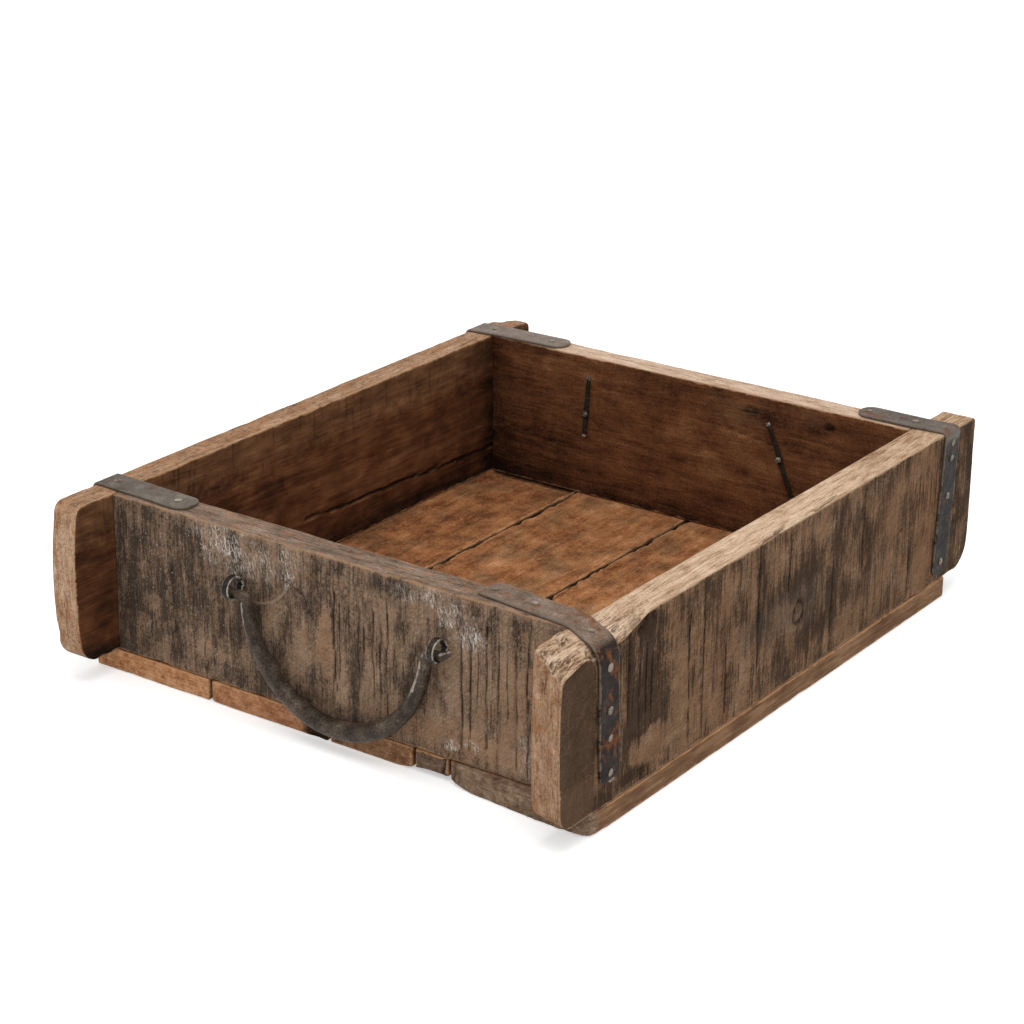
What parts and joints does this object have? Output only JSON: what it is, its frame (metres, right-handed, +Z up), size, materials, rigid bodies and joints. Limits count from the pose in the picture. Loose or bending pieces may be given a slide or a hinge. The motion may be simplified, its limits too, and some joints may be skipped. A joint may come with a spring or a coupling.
{
  "type": "brick mould",
  "caption": "Open wooden brick mould of nailed boards with eared sides, plank floor, iron corner straps and a swinging iron bail at each end.",
  "frame": {"origin": "on the underside of the floor, below the middle of the bounding box", "axes": "+X to the right seen from the front board, +Y from the front board with its bail to the rear board, +Z up out of the open top"},
  "size_m": [0.4062, 0.5134, 0.1286],
  "materials": {
    "side_wood": "weathered, sawn, bleached edges",
    "end_wood": "dark grime over sawn wood, lime specks",
    "inner_wood": "smooth, worn, dark red-brown",
    "floor_wood": "worn, warm brown",
    "strap_iron": "dark wrought iron with rust patches",
    "nail_iron": "dull, lightly rusted",
    "forged_iron": "forged black iron, hand-polished highlights"
  },
  "bodies": {
    "tray": {"side_board_left": "side_wood", "side_board_right": "side_wood", "front_board": "end_wood", "rear_board": "inner_wood", "floor_plank_1": "floor_wood", "floor_plank_2": "floor_wood", "floor_plank_3": "floor_wood", "floor_plank_4": "floor_wood", "floor_plank_5": "floor_wood", "corner_strap_front_left": "strap_iron", "corner_strap_front_right": "strap_iron", "corner_strap_rear_left": "strap_iron", "corner_strap_rear_right": "strap_iron", "strap_nails_front_left": "nail_iron", "strap_nails_front_right": "nail_iron", "strap_nails_rear_left": "nail_iron", "strap_nails_rear_right": "nail_iron", "end_nails_left": "nail_iron", "end_nails_right": "nail_iron", "floor_nails": "nail_iron", "front_eye_left": "forged_iron", "front_eye_right": "forged_iron", "rear_eye_left": "forged_iron", "rear_eye_right": "forged_iron"},
    "front_handle": {"front_bail": "forged_iron"},
    "rear_handle": {"rear_bail": "forged_iron"}
  },
  "joints": [
    {"name": "front_bail_swing", "type": "hinge", "parent": "tray", "child": "front_handle", "pos_m": [0.0081, -0.22305, 0.0868], "axis": [-1, 0, 0], "range_deg": [-1, 182]},
    {"name": "rear_bail_swing", "type": "hinge", "parent": "tray", "child": "rear_handle", "pos_m": [-0.0088, 0.23255, 0.0778], "axis": [1, 0, 0], "range_deg": [-1, 182]}
  ]
}
